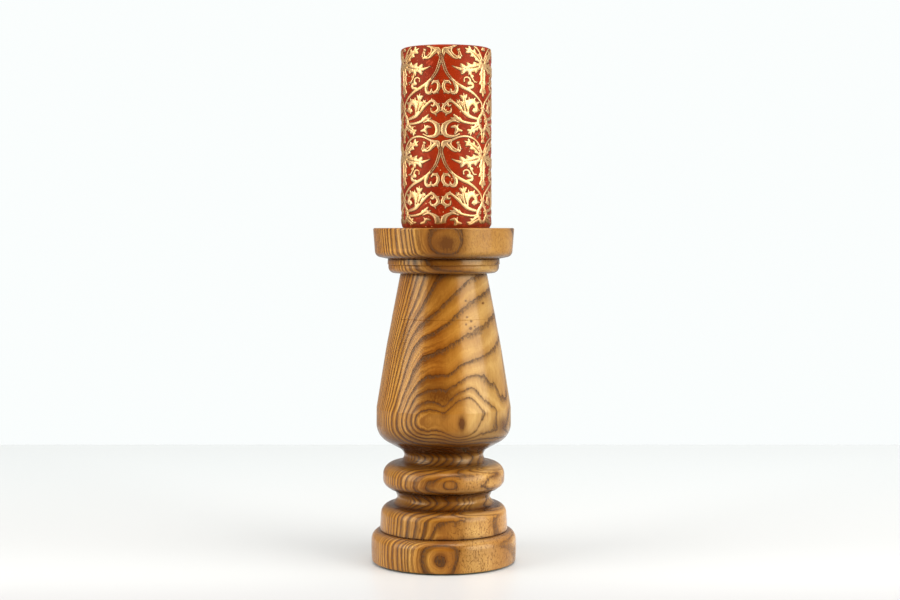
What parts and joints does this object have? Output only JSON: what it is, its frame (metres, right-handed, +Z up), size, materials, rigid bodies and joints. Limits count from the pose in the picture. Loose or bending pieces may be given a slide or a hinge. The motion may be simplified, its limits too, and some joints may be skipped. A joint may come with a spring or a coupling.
{
  "type": "candlestick",
  "caption": "Turned wooden pillar candlestick: round foot, plinth, bead between coves, tapered body, collar and flat cup with a pan and pricket, holding a relief-decorated pillar candle.",
  "frame": {"origin": "centre of the felt pad's underside, on the surface that the candlestick stands on", "axes": "+Z up along the turning axis, towards the candle; +X to the right and -Y towards a viewer in front"},
  "size_m": [0.1246, 0.1246, 0.4414],
  "materials": {
    "wood": "satin varnish over strongly figured ring-porous wood",
    "dowel_wood": "bare beech",
    "felt": "pressed wool felt",
    "brass": "spun and lightly brushed",
    "steel": "drawn steel wire",
    "wax": "smooth red wax",
    "gilt": "gold-lacquered relief on the candle",
    "wick_cotton": "braided cotton dipped in wax"
  },
  "bodies": {
    "stand": {"foot": "wood", "plinth": "wood", "knop": "wood", "body_lower": "wood", "body_upper": "wood", "collar": "wood", "cup": "wood", "foot_dowel": "dowel_wood", "neck_dowel": "dowel_wood", "body_dowel": "dowel_wood", "head_dowel": "dowel_wood", "felt_pad": "felt", "candle_pan": "brass", "pricket": "steel", "pan_screws": "brass"},
    "candle": {"candle_wax": "wax", "wick": "wick_cotton"}
  },
  "joints": [
    {"name": "candle_lift", "type": "slide", "parent": "stand", "child": "candle", "axis": [0, 0, 1], "range_m": [0, 0.12]}
  ]
}
